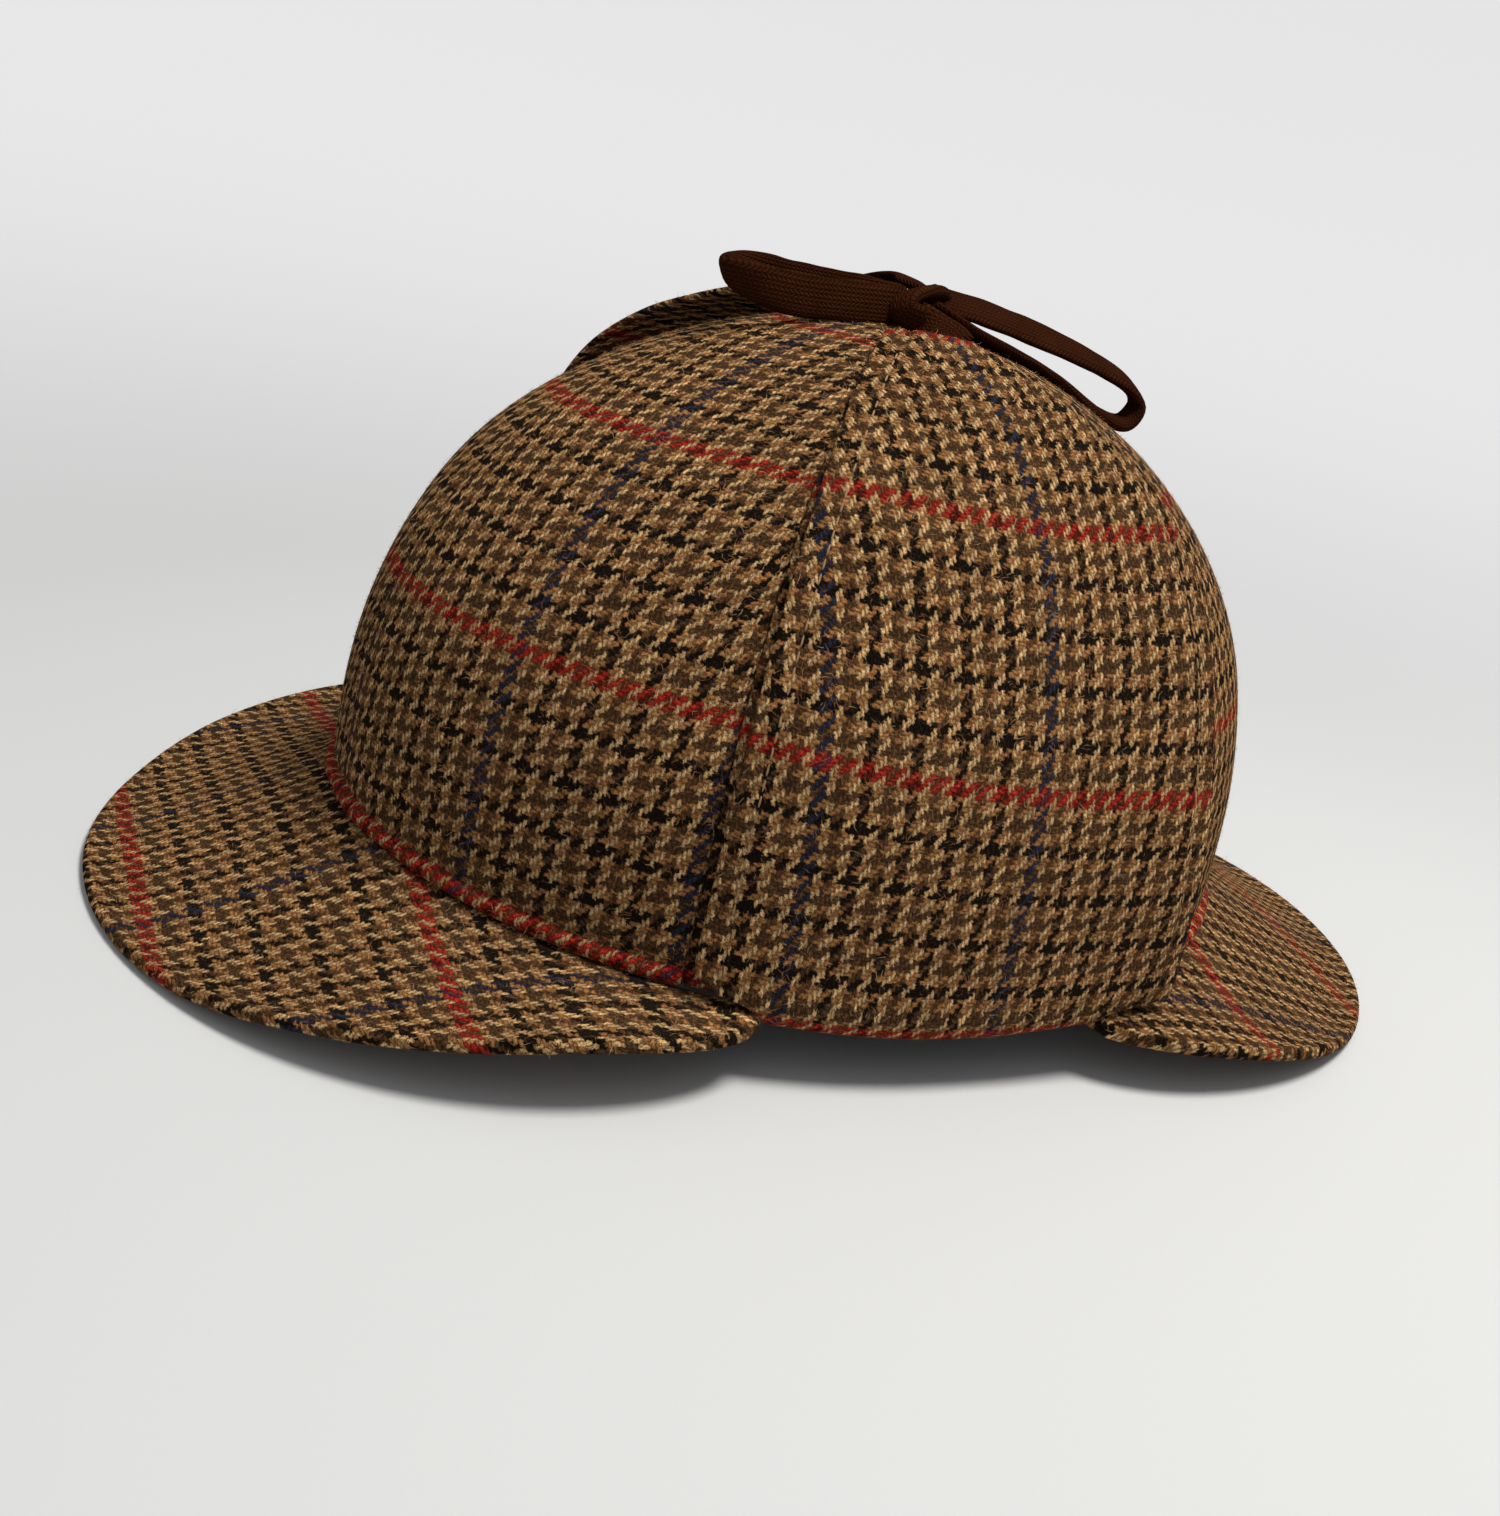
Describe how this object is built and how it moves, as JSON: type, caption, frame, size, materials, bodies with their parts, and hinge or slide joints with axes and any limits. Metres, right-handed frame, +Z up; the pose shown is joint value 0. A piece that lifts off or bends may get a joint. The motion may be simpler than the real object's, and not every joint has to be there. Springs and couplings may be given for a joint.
{
  "type": "deerstalker hat",
  "caption": "Tweed deerstalker hat with a gored crown, a peak at front and back, and ear flaps tied up over the top with a tape bow.",
  "frame": {"origin": "centre of the bounding box, on the floor that both peaks rest on", "axes": "+Z up, -Y towards the hat's front, +X towards the wearer's left"},
  "size_m": [0.1922, 0.305, 0.1451],
  "materials": {
    "tweed": "brown houndstooth wool tweed with red and navy overchecks",
    "tape": "dark brown woven tape"
  },
  "bodies": {
    "root": {"crown_panel_front_left": "tweed", "crown_panel_side_left": "tweed", "crown_panel_back_left": "tweed", "crown_panel_back_right": "tweed", "crown_panel_side_right": "tweed", "crown_panel_front_right": "tweed", "peak_front": "tweed", "peak_back": "tweed", "ear_flap_left": "tweed", "ear_flap_right": "tweed", "ribbon_left": "tape", "ribbon_right": "tape", "bow_knot": "tape", "bow_loop_front": "tape", "bow_loop_back": "tape", "ribbon_tail_left": "tape", "ribbon_tail_right": "tape"}
  },
  "joints": []
}
